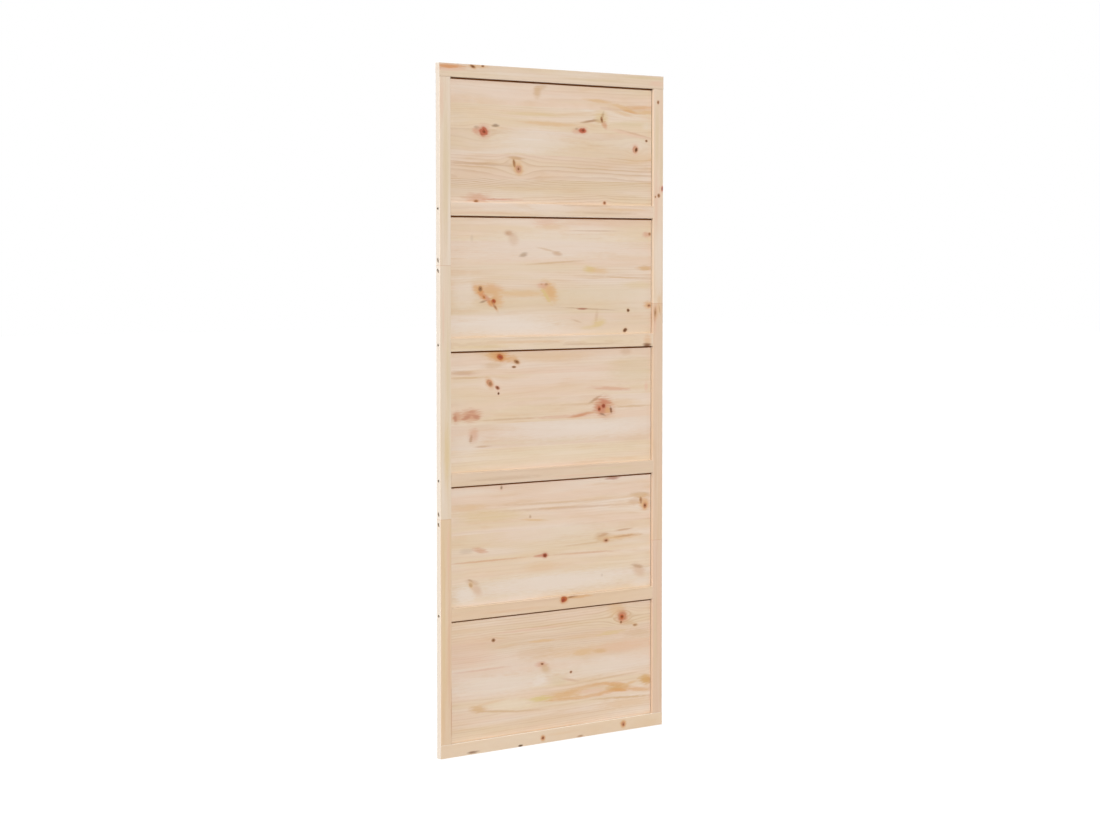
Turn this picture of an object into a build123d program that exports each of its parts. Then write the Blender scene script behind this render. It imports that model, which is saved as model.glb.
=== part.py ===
from build123d import *
import os

# A framed and panelled softwood barn door leaf. Millimetres, +Z up, front towards -Y.
# The origin is the middle of the top edge, where the leaf hangs from its hangers.

# Leaf
LEAF_WIDTH = 900.0
LEAF_HEIGHT = 2045.0
LEAF_THICKNESS = 18.0

# Frame stock: every member is milled with a panel rebate along its inner back edge
STILE_WIDTH = 42.0
RAIL_WIDTH = 40.0
REBATE_WIDTH = 10.0
REBATE_DEPTH = 4.0
EASED_EDGE = 1.5

# Bays, one more than the cross rails: the top and bottom ones are a little taller
CROSS_RAIL_COUNT = 4
END_BAY_EXTRA = 5.0

# Each stile comes in three lengths: these two, and one that fills the rest
SHORT_LENGTH = 550.0
LONG_LENGTH = 746.0

# Lipped panels: the field shows in front, the lip lies in the rebates behind the frame
PANEL_THICKNESS = 9.0
PANEL_EASED_EDGE = 0.6
FIELD_SIDE_GAP = 1.0
FIELD_TOP_GAP = 4.5
LIP_CLEARANCE = 1.0

# Straight screws, which pull the rails and stiles together
SCREW_HOLE = 4.5
SCREW_HEAD_BORE = 8.0
SCREW_HEAD_DEPTH = 5.0
PILOT_HOLE = 3.0
PILOT_DEPTH = 30.0

# Angled screw pockets, one on each side of a joint in a stile, skewed to pass each other
POCKET_BORE = 7.0
POCKET_DEPTH = 12.0
POCKET_TO_JOINT = 16.0
POCKET_ANGLE = 28.0
POCKET_SKEW = 20.0

# Worked out from the sizes above
LEFT_EDGE = -LEAF_WIDTH / 2
FRONT = -LEAF_THICKNESS / 2
BACK = LEAF_THICKNESS / 2
REBATE_WALL = BACK - REBATE_DEPTH
FRONT_DEPTH = LEAF_THICKNESS - REBATE_DEPTH
OPENING_WIDTH = LEAF_WIDTH - 2 * STILE_WIDTH
STILE_MIDDLE = LEFT_EDGE + STILE_WIDTH / 2
STILE_TOP = -RAIL_WIDTH
STILE_BOTTOM = RAIL_WIDTH - LEAF_HEIGHT
UPPER_JOINT = STILE_TOP - SHORT_LENGTH
LOWER_JOINT = UPPER_JOINT - LONG_LENGTH
BAY_COUNT = CROSS_RAIL_COUNT + 1
RAILS_HEIGHT = (CROSS_RAIL_COUNT + 2) * RAIL_WIDTH
BAY_HEIGHT = (LEAF_HEIGHT - RAILS_HEIGHT - 2 * END_BAY_EXTRA) / BAY_COUNT
RAIL_PITCH = BAY_HEIGHT + RAIL_WIDTH
FIRST_RAIL = STILE_TOP - END_BAY_EXTRA - BAY_HEIGHT - RAIL_WIDTH / 2
RAIL_HEIGHTS = [FIRST_RAIL - index * RAIL_PITCH for index in range(CROSS_RAIL_COUNT)]

# Apart from its panels, the leaf is the same again after half a turn about this axis
HALF_TURN = Axis((0, 0, -LEAF_HEIGHT / 2), (0, 1, 0))


def save(piece, name):
    piece.label = name
    export_step(piece, f"parts/{name}.step")


def pocket_plane(joint, side):
    """Mouth of the pocket above (side 1) or below (side -1) a joint, aimed at the joint."""
    leaning = Vector(0, 0, -side).rotate(Axis.Y, -side * POCKET_ANGLE)
    mouth = (LEFT_EDGE, 0, joint + side * POCKET_TO_JOINT)
    return Plane(origin=mouth, z_dir=leaning.rotate(Axis.X, -POCKET_SKEW))


def left_stile_length(top, bottom, top_pocket, bottom_pocket):
    """One length of the left stile. An end at a rail has a tongue that fills the rail's rebate."""
    at_top_rail = not top_pocket
    at_bottom_rail = not bottom_pocket
    tongue_top = top + (REBATE_WIDTH if at_top_rail else 0)
    tongue_bottom = bottom - (REBATE_WIDTH if at_bottom_rail else 0)
    with BuildPart() as length:
        with BuildSketch(Plane.XY.offset(tongue_bottom)) as section:
            with Locations((LEFT_EDGE, 0)):
                Rectangle(STILE_WIDTH, LEAF_THICKNESS, align=(Align.MIN, Align.CENTER))
            with Locations((LEFT_EDGE + STILE_WIDTH, BACK)):
                corner = (Align.MAX, Align.MAX)
                Rectangle(REBATE_WIDTH, REBATE_DEPTH, align=corner, mode=Mode.SUBTRACT)
            outer_back = section.vertices().group_by(Axis.Y)[-1].sort_by(Axis.X)[0]
            fillet(section.vertices().group_by(Axis.Y)[0] + [outer_back], EASED_EDGE)
        extrude(amount=tongue_top - tongue_bottom)

        # Shoulders: the front part stops at the rail, and a pilot hole takes the rail's screw
        if at_top_rail:
            with BuildSketch(Plane.XY.offset(top)):
                with Locations((LEFT_EDGE, FRONT)):
                    Rectangle(STILE_WIDTH, FRONT_DEPTH, align=(Align.MIN, Align.MIN))
            extrude(amount=REBATE_WIDTH, mode=Mode.SUBTRACT)
            with Locations(Plane(origin=(STILE_MIDDLE, 0, top), z_dir=(0, 0, 1))):
                Hole(PILOT_HOLE / 2, PILOT_DEPTH)
        if at_bottom_rail:
            with BuildSketch(Plane.XY.offset(tongue_bottom)):
                with Locations((LEFT_EDGE, FRONT)):
                    Rectangle(STILE_WIDTH, FRONT_DEPTH, align=(Align.MIN, Align.MIN))
            extrude(amount=REBATE_WIDTH, mode=Mode.SUBTRACT)
            with Locations(Plane(origin=(STILE_MIDDLE, 0, bottom), z_dir=(0, 0, -1))):
                Hole(PILOT_HOLE / 2, PILOT_DEPTH)

        # Screw holes for the cross rails that end at this length
        for height in RAIL_HEIGHTS:
            if bottom < height < top:
                with Locations(Plane(origin=(LEFT_EDGE, 0, height), z_dir=(-1, 0, 0))):
                    CounterBoreHole(SCREW_HOLE / 2, SCREW_HEAD_BORE / 2, SCREW_HEAD_DEPTH, STILE_WIDTH)

        # Angled pockets at the joints with the other lengths
        mouths = []
        if top_pocket:
            mouths.append(pocket_plane(top, -1))
        if bottom_pocket:
            mouths.append(pocket_plane(bottom, 1))
        with Locations(*mouths):
            Cylinder(POCKET_BORE / 2, 2 * POCKET_DEPTH, mode=Mode.SUBTRACT)
    return length.part


def cross_rail(height):
    """A rail between the stiles, rebated above and below, with tongues that lap the stiles."""
    with BuildPart() as rail:
        with BuildSketch(Plane.XY.offset(height)) as plan:
            with Locations((0, FRONT)):
                Rectangle(OPENING_WIDTH, LEAF_THICKNESS, align=(Align.CENTER, Align.MIN))
            with Locations((0, BACK)):
                tongues = OPENING_WIDTH + 2 * REBATE_WIDTH
                Rectangle(tongues, REBATE_DEPTH, align=(Align.CENTER, Align.MAX))
        extrude(amount=RAIL_WIDTH / 2, both=True)
        fillet(rail.edges().filter_by(Axis.X).group_by(Axis.Y)[0], EASED_EDGE)
        with BuildSketch(Plane.XZ.offset(-BACK)) as rebates:
            with Locations((0, height + RAIL_WIDTH / 2), (0, height - RAIL_WIDTH / 2)):
                Rectangle(tongues, 2 * REBATE_WIDTH)
        extrude(amount=REBATE_DEPTH, mode=Mode.SUBTRACT)
        for side in (-1, 1):
            with Locations(Plane(origin=(side * OPENING_WIDTH / 2, 0, height), z_dir=(side, 0, 0))):
                Hole(PILOT_HOLE / 2, PILOT_DEPTH)
    return rail.part


def panel(top, bottom):
    """A lipped panel in a bay: it sits on the rail below and has room to swell above."""
    with BuildPart() as board:
        lip_top = top + REBATE_WIDTH - LIP_CLEARANCE - FIELD_TOP_GAP
        lip_bottom = bottom - REBATE_WIDTH + LIP_CLEARANCE
        lip_width = OPENING_WIDTH + 2 * (REBATE_WIDTH - LIP_CLEARANCE)
        with BuildSketch(Plane.XZ.offset(-BACK)) as lip:
            with Locations((0, lip_bottom)):
                Rectangle(lip_width, lip_top - lip_bottom, align=(Align.CENTER, Align.MIN))
        extrude(amount=REBATE_DEPTH)
        with BuildSketch(Plane.XZ.offset(-REBATE_WALL)) as field:
            with Locations((0, bottom)):
                field_width = OPENING_WIDTH - 2 * FIELD_SIDE_GAP
                field_height = top - bottom - FIELD_TOP_GAP
                Rectangle(field_width, field_height, align=(Align.CENTER, Align.MIN))
        extrude(amount=PANEL_THICKNESS - REBATE_DEPTH)
        fillet(board.faces().sort_by(Axis.Y)[0].edges(), PANEL_EASED_EDGE)
    return board.part


os.makedirs("parts", exist_ok=True)

# Top rail, the full width of the leaf, screwed down into the stiles
with BuildPart() as top_rail:
    with BuildSketch(Plane.YZ.offset(LEFT_EDGE)) as rail_section:
        Rectangle(LEAF_THICKNESS, RAIL_WIDTH, align=(Align.CENTER, Align.MAX))
        with Locations((BACK, -RAIL_WIDTH)):
            Rectangle(REBATE_DEPTH, REBATE_WIDTH, align=(Align.MAX, Align.MIN), mode=Mode.SUBTRACT)
        front_corners = rail_section.vertices().group_by(Axis.Y)[0]
        back_corner = rail_section.vertices().group_by(Axis.Y)[-1].sort_by(Axis.Z)[-1]
        fillet(front_corners + [back_corner], EASED_EDGE)
    extrude(amount=LEAF_WIDTH)
    with Locations((STILE_MIDDLE, 0, 0), (-STILE_MIDDLE, 0, 0)):
        CounterBoreHole(SCREW_HOLE / 2, SCREW_HEAD_BORE / 2, SCREW_HEAD_DEPTH, RAIL_WIDTH)
save(top_rail.part, "top_rail")

with BuildPart() as bottom_rail:
    add(top_rail.part.rotate(HALF_TURN, 180))
save(bottom_rail.part, "bottom_rail")

# Cross rails, numbered from the top
for index, rail_height in enumerate(RAIL_HEIGHTS, start=1):
    save(cross_rail(rail_height), f"cross_rail_{index}")

# Left stile in its three lengths, and the right stile, which is the same turned end for end
left_top = left_stile_length(STILE_TOP, UPPER_JOINT, top_pocket=False, bottom_pocket=True)
left_middle = left_stile_length(UPPER_JOINT, LOWER_JOINT, top_pocket=True, bottom_pocket=True)
left_bottom = left_stile_length(LOWER_JOINT, STILE_BOTTOM, top_pocket=True, bottom_pocket=False)
save(left_top, "left_stile_top")
save(left_middle, "left_stile_middle")
save(left_bottom, "left_stile_bottom")
save(left_bottom.rotate(HALF_TURN, 180), "right_stile_top")
save(left_middle.rotate(HALF_TURN, 180), "right_stile_middle")
save(left_top.rotate(HALF_TURN, 180), "right_stile_bottom")

# Panels, numbered from the top, each between the rail above it and the rail below it
bay_tops = [STILE_TOP] + [rail_height - RAIL_WIDTH / 2 for rail_height in RAIL_HEIGHTS]
bay_bottoms = [rail_height + RAIL_WIDTH / 2 for rail_height in RAIL_HEIGHTS] + [STILE_BOTTOM]
for index, (bay_top, bay_bottom) in enumerate(zip(bay_tops, bay_bottoms), start=1):
    save(panel(bay_top, bay_bottom), f"panel_{index}")
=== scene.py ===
import math

import bmesh
import bpy
from mathutils import Matrix, Vector


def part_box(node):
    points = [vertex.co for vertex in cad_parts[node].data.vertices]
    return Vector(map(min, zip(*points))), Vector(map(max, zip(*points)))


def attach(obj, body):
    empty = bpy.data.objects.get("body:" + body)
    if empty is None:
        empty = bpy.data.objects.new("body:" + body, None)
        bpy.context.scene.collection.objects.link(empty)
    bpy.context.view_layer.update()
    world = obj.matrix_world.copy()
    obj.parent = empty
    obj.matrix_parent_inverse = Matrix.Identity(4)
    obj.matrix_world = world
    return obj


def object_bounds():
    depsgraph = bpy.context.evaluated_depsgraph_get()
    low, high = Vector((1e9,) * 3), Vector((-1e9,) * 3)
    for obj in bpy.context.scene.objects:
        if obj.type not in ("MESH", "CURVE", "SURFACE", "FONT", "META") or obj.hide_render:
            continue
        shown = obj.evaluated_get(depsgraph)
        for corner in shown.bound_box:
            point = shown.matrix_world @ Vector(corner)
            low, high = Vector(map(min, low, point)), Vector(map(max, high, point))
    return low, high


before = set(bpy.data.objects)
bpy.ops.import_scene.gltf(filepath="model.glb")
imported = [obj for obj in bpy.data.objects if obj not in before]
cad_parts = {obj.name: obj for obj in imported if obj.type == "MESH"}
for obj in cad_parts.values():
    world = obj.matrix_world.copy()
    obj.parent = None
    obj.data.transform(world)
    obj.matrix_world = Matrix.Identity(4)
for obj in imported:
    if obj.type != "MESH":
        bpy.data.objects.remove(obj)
cad_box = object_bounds()

MM = 0.001
PANEL_COUNT = 5
CROSS_RAIL_COUNT = 4

# Photograph: frame size in pixels, and the camera in metres and degrees
PHOTO_WIDTH = 1100
CAMERA_PLACE = (-5.282, -6.011, -0.581)
CAMERA_YAW = 41.229
CAMERA_PITCH = -3.25
CAMERA_FOCAL_PIXELS = 2633.0
SENSOR_WIDTH = 36.0

# Screws, in millimetres, as the solids hold them
HEAD_RADIUS = 3.6
HEAD_HEIGHT = 2.3
SHANK_RADIUS = 2.0
SHANK_LENGTH = 3.0
SCREW_HEAD_DEPTH = 5.0
POCKET_DEPTH = 12.0
POCKET_TO_JOINT = 16.0
POCKET_ANGLE = 28.0
POCKET_SKEW = 20.0

# Front faces of the frame and of the panels, in millimetres
FRAME_FRONT = -9.0
PANEL_FRONT = 0.0

# The panels lie behind the frame, so their marks are this much farther right than they look
SIGHT_SHIFT = 8.0

# Panels are glued up from boards of about this width, in millimetres
BOARD_WIDTH = 73.0

# How far a knot slants along and across the grain for each millimetre of depth
SLANT_ALONG = 1.3
SLANT_ACROSS = 0.6

# Depths between which the gaps round the panels get painted shade: on panels, on the frame, and where it
# faces left
PANEL_GAP_SHADE_DEPTHS = (0.7, 5.1)
FRAME_GAP_SHADE_DEPTHS = (-0.8, 4.5)
LEFT_FACING_GAP_SHADE_DEPTHS = (-0.45, 0.1)

# Heights between which the painted shade in the gaps grows darker upwards, and how dark it is at each
GAP_SHADE_FADE = (-1700.0, -1200.0, 0.7, 0.9)

# Bands inside the outer edges, in millimetres: the edge's own tone, the painted shade in the screw holes,
# and the skin over them
EDGE_BAND = (4.0, 1.0)
HOLE_BAND = (11.0, 10.0)
SKIN_BAND = (0.3, 0.8)
HOLE_HALF_DEPTH = (5.5, 5.0)

# Studio: light of the world on the leaf, and the floor's half size, grey and glow
WORLD_LIGHT = 0.36
FLOOR_HALF = 40.0
FLOOR_GREY = 0.2
FLOOR_GLOW = 0.82


def linear(red, green, blue):
    """Colour for a shader from the 0 to 255 values that it should show."""
    def channel(value):
        share = value / 255
        if share <= 0.04045:
            return share / 12.92
        return ((share + 0.055) / 1.055) ** 2.4
    return (channel(red), channel(green), channel(blue), 1.0)


# Pine: the wood between the rings, the ring lines, and its shades
PINE_PINK = linear(227, 201, 179)
PINE_YELLOW = linear(224, 201, 172)
PINE_PALE = linear(230, 211, 194)
PINE_TAN = linear(218, 184, 146)
PINE_LATE = linear(198, 158, 118)
PINE_EDGE = linear(222, 210, 196)
# Painted shade on the inner sides of the frame
PINE_INNER_SHADE = linear(190, 172, 152)
# Painted highlight on the upper arris of the rails
PINE_LEDGE_HIGHLIGHT = linear(240, 230, 216)
# Colour of the dark joint lines, and painted shade in the gaps round the panels
DARK_JOINT_AND_GAP_SHADE = linear(186, 112, 46)
# Painted shade on the sideways faces in the gaps round the panels
SIDE_GAP_SHADE = linear(98, 64, 40)
# Painted shade in the screw holes
HOLE_SHADE = linear(118, 100, 84)

# Screw steel, in its darker and paler clouds
STEEL_DARK = linear(150, 148, 142)
STEEL_PALE = linear(196, 192, 182)

# Marks in the wood, from dark to pale
BLACK = linear(96, 66, 42)
DARK = linear(118, 72, 44)
CRIMSON = linear(156, 74, 52)
UMBER = linear(154, 128, 104)
BROWN = linear(168, 122, 84)
GREY = linear(178, 150, 126)
BRICK = linear(182, 120, 93)
RED = linear(190, 102, 74)
EMBER = linear(182, 94, 50)
CORAL = linear(204, 124, 94)
FAWN = linear(196, 156, 120)
COCOA = linear(190, 143, 108)
RUST = linear(202, 142, 106)
AMBER = linear(208, 142, 90)
CLAY = linear(206, 154, 124)
TAN = linear(206, 170, 130)
FLESH = linear(211, 160, 134)
OCHRE = linear(206, 160, 100)
ORANGE = linear(213, 162, 110)
LIME = linear(213, 191, 126)
YELLOW = linear(215, 188, 134)
OLIVE = linear(212, 191, 152)
SAND = linear(218, 181, 138)
ROSE = linear(213, 181, 154)
PINK = linear(224, 186, 162)
CREAM = linear(231, 216, 190)
PALE = linear(229, 215, 202)


class Graph:
    """Writes a node tree as formulas: each method adds a node and returns its output."""

    def __init__(self, tree):
        self.tree = tree

    def node(self, kind, **settings):
        made = self.tree.nodes.new(kind)
        for name, value in settings.items():
            setattr(made, name, value)
        return made

    def feed(self, socket, value):
        if isinstance(value, bpy.types.NodeSocket):
            self.tree.links.new(value, socket)
        else:
            socket.default_value = value

    def math(self, operation, *values):
        made = self.node("ShaderNodeMath", operation=operation)
        for socket, value in zip(made.inputs, values):
            self.feed(socket, value)
        return made.outputs[0]

    def add(self, a, b):
        return self.math("ADD", a, b)

    def sub(self, a, b):
        return self.math("SUBTRACT", a, b)

    def mul(self, a, b):
        return self.math("MULTIPLY", a, b)

    def div(self, a, b):
        return self.math("DIVIDE", a, b)

    def square(self, a):
        return self.mul(a, a)

    def step(self, value, start, end, low=0.0, high=1.0):
        """Smooth step from low at start to high at end."""
        made = self.node("ShaderNodeMapRange", interpolation_type="SMOOTHSTEP")
        for socket, number in zip(made.inputs, (value, start, end, low, high)):
            self.feed(socket, number)
        return made.outputs[0]

    def point(self, x, y, z=0.0):
        made = self.node("ShaderNodeCombineXYZ")
        for socket, value in zip(made.inputs, (x, y, z)):
            self.feed(socket, value)
        return made.outputs[0]

    def noise(self, point, detail=2.0, roughness=0.5):
        made = self.node("ShaderNodeTexNoise")
        self.feed(made.inputs["Vector"], point)
        made.inputs["Scale"].default_value = 1.0
        made.inputs["Detail"].default_value = detail
        made.inputs["Roughness"].default_value = roughness
        return made.outputs["Fac"]

    def random(self, number):
        """Three random values between 0 and 1 that depend on one number."""
        made = self.node("ShaderNodeTexWhiteNoise", noise_dimensions="1D")
        self.feed(made.inputs["W"], number)
        split = self.node("ShaderNodeSeparateColor")
        self.feed(split.inputs[0], made.outputs["Color"])
        return split.outputs

    def pick(self, number, values):
        """The value at a whole number's place in a list."""
        made = self.node("ShaderNodeValToRGB")
        ramp = made.color_ramp
        ramp.interpolation = "CONSTANT"
        ramp.elements.remove(ramp.elements[-1])
        for index, value in enumerate(values):
            start = index / len(values)
            element = ramp.elements[0] if index == 0 else ramp.elements.new(start)
            element.color = (value, value, value, 1.0)
        self.feed(made.inputs[0], self.div(self.add(number, 0.5), len(values)))
        return made.outputs[0]

    def mix(self, share, a, b):
        made = self.node("ShaderNodeMix", data_type="RGBA")
        self.feed(made.inputs[0], share)
        self.feed(made.inputs[6], a)
        self.feed(made.inputs[7], b)
        return made.outputs[2]

    def bright(self, colour, value):
        made = self.node("ShaderNodeHueSaturation")
        self.feed(made.inputs["Color"], colour)
        self.feed(made.inputs["Value"], value)
        return made.outputs[0]

    def group(self, tree, **values):
        made = self.node("ShaderNodeGroup", node_tree=tree)
        for name, value in values.items():
            self.feed(made.inputs[name.replace("_", " ").capitalize()], value)
        return made.outputs


def new_group(name, inputs, outputs):
    """An empty node group: its graph, its input sockets by name, and its output node."""
    tree = bpy.data.node_groups.new(name, "ShaderNodeTree")
    for title, kind in inputs.items():
        tree.interface.new_socket(name=title, in_out="INPUT", socket_type=f"NodeSocket{kind}")
    for title, kind in outputs.items():
        tree.interface.new_socket(name=title, in_out="OUTPUT", socket_type=f"NodeSocket{kind}")
    graph = Graph(tree)
    given = graph.node("NodeGroupInput").outputs
    result = graph.node("NodeGroupOutput").inputs
    return graph, given, result


def pine_group():
    """Sawn pine in millimetres: colour and surface height of one board, before any knots."""
    numbers = {name: "Float" for name in ("Along", "Across", "Depth", "Board", "Lines")}
    outputs = {"Colour": "Color", "Height": "Float", "Fibre": "Float"}
    g, given, result = new_group("Pine", numbers, outputs)
    across = given["Across"]
    depth = given["Depth"]
    board = given["Board"]
    slide, pith_side, pith_depth = g.random(board)
    spacing, hue, shade = g.random(g.add(board, 0.5))
    along = g.add(given["Along"], g.mul(slide, 3000.0))

    # Distance from the pith, which wanders along the board, gives the rings
    lane = g.mul(board, 3.7)
    wander = g.noise(g.point(g.mul(along, 0.0013), g.mul(across, 0.005), lane))
    ripple = g.noise(g.point(g.mul(along, 0.012), g.mul(across, 0.08), lane))
    side = g.sub(across, g.mul(g.sub(pith_side, 0.5), 220.0))
    below = g.sub(depth, g.add(26.0, g.mul(pith_depth, 60.0)))
    radius = g.math("SQRT", g.add(g.square(side), g.square(below)))
    radius = g.add(radius, g.add(g.mul(wander, 26.0), g.mul(ripple, 3.5)))
    rings = g.div(radius, g.add(4.0, g.mul(spacing, 4.5)))
    place = g.math("FRACT", rings)
    line = g.mul(g.step(place, 0.4, 0.92), g.step(place, 1.0, 0.93))
    strong = g.random(g.add(g.math("FLOOR", rings), g.mul(board, 31.0)))[0]
    lined = g.noise(g.point(g.mul(along, 0.003), g.mul(across, 0.01), g.add(lane, 90.0)), 1.0)
    contrast = g.mul(given["Lines"], g.step(lined, 0.3, 0.65, 0.4, 1.0))
    late = g.mul(g.mul(line, g.add(0.2, g.mul(strong, 0.8))), contrast)

    # Streaks, broad shades and fine fibres, all drawn out along the grain
    streak = g.noise(g.point(g.mul(along, 0.0042), g.mul(radius, 0.075), lane), 4.0, 0.6)
    broad = g.noise(g.point(g.mul(along, 0.0022), g.mul(across, 0.03), lane), 2.0)
    pale = g.noise(g.point(g.mul(along, 0.0018), g.mul(across, 0.022), g.add(lane, 50.0)), 1.0)
    fibre = g.noise(g.point(g.mul(along, 0.03), g.mul(across, 1.7), g.mul(depth, 1.7)), 2.0)

    warm = g.step(g.add(g.mul(broad, 0.75), g.mul(hue, 0.25)), 0.32, 0.68)
    colour = g.mix(warm, PINE_PINK, PINE_YELLOW)
    colour = g.mix(g.step(pale, 0.48, 0.72, 0.0, 0.8), colour, PINE_PALE)
    colour = g.mix(g.step(streak, 0.5, 0.75, 0.0, 0.55), colour, PINE_TAN)
    colour = g.mix(g.step(streak, 0.5, 0.25, 0.0, 0.55), colour, PINE_PALE)
    colour = g.mix(g.mul(late, 0.6), colour, PINE_LATE)
    light = g.add(0.985, g.mul(g.sub(ripple, 0.5), 0.06))
    light = g.add(light, g.mul(g.sub(shade, 0.5), 0.05))
    light = g.add(light, g.mul(g.sub(fibre, 0.5), 0.07))
    g.feed(result["Colour"], g.bright(colour, light))
    g.feed(result["Height"], g.add(g.mul(late, 0.6), g.mul(fibre, 0.5)))
    g.feed(result["Fibre"], fibre)
    return g.tree


def mark_inputs():
    """The sockets that place a mark."""
    place = ("Along", "Across", "Centre along", "Centre across")
    shape = ("Half length", "Half height", "Turn", "Ragged")
    return {name: "Float" for name in place + shape}


def mark_reach(g, given):
    """How far a point lies from a mark's centre: 1 on the edge of its ragged ellipse."""
    along = g.sub(given["Along"], given["Centre along"])
    across = g.sub(given["Across"], given["Centre across"])
    cosine = g.math("COSINE", given["Turn"])
    sine = g.math("SINE", given["Turn"])
    length = g.div(g.add(g.mul(along, cosine), g.mul(across, sine)), given["Half length"])
    height = g.div(g.sub(g.mul(across, cosine), g.mul(along, sine)), given["Half height"])
    reach = g.math("SQRT", g.add(g.square(length), g.square(height)))
    return g.add(reach, given["Ragged"])


def stain_group():
    """A soft stain or streak laid over a colour."""
    inputs = {"Colour": "Color", "Stain": "Color", "Strength": "Float", **mark_inputs()}
    g, given, result = new_group("Stain", inputs, {"Colour": "Color"})
    share = g.mul(g.step(mark_reach(g, given), 1.15, 0.25), given["Strength"])
    g.feed(result["Colour"], g.mix(share, given["Colour"], given["Stain"]))
    return g.tree


def knot_group():
    """A knot laid over a colour: a halo drawn out along the grain, a soft body and a ragged heart."""
    inputs = {"Colour": "Color", "Halo": "Color", "Body": "Color", "Heart": "Color", **mark_inputs()}
    g, given, result = new_group("Knot", inputs, {"Colour": "Color"})
    reach = mark_reach(g, given)
    along = g.sub(given["Along"], given["Centre along"])
    drawn_out = g.div(g.math("ABSOLUTE", along), g.mul(given["Half length"], 2.8))
    halo = g.mul(g.step(reach, 2.2, 0.8), g.step(drawn_out, 1.0, 0.3))
    colour = g.mix(g.mul(halo, 0.5), given["Colour"], given["Halo"])
    ring = g.add(0.94, g.mul(g.math("SINE", g.mul(reach, 15.0)), 0.08))
    body = g.bright(given["Body"], ring)
    colour = g.mix(g.step(reach, 1.25, 0.7, 0.0, 0.92), colour, body)
    ragged_more = g.add(reach, g.mul(given["Ragged"], 1.2))
    g.feed(result["Colour"], g.mix(g.step(ragged_more, 0.64, 0.2, 0.0, 0.95), colour, given["Heart"]))
    return g.tree


def flow_group():
    """How far the grain is pushed aside by a knot."""
    g, given, result = new_group("Knot flow", mark_inputs(), {"Push": "Float"})
    along = g.div(g.sub(given["Along"], given["Centre along"]), 2.2)
    across = g.sub(given["Across"], given["Centre across"])
    reach = g.square(g.mul(given["Half height"], 1.3))
    distance = g.add(g.square(along), g.square(across))
    push = g.div(g.mul(across, reach), g.add(distance, g.mul(reach, 0.4)))
    g.feed(result["Push"], push)
    return g.tree


PINE = pine_group()
STAIN = stain_group()
KNOT = knot_group()
FLOW = flow_group()


def knot(x, y, half_length, half_height, turn=0, halo=RUST, body=RED, heart=DARK):
    return {"kind": "knot", "place": (x, y), "half": (half_length, half_height), "turn": turn,
            "colours": (halo, body, heart)}


def stain(x, y, half_length, half_height, turn=0, colour=BROWN, strength=0.6):
    return {"kind": "stain", "place": (x, y), "half": (half_length, half_height), "turn": turn,
            "colours": (colour,), "strength": strength}


# How strongly the ring lines show on each board of a panel, from the bottom board up
BOARD_LINES = {
    "panel_1": (1.3, 1.0, 0.4, 0.4, 0.35),
    "panel_2": (0.2, 0.4, 0.5, 0.3, 0.35),
    "panel_3": (0.35, 0.15, 0.3, 0.15, 0.3),
    "panel_4": (0.2, 0.25, 0.25, 0.35, 0.3),
    "panel_5": (0.7, 0.4, 0.25, 0.6, 1.0),
}

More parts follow.
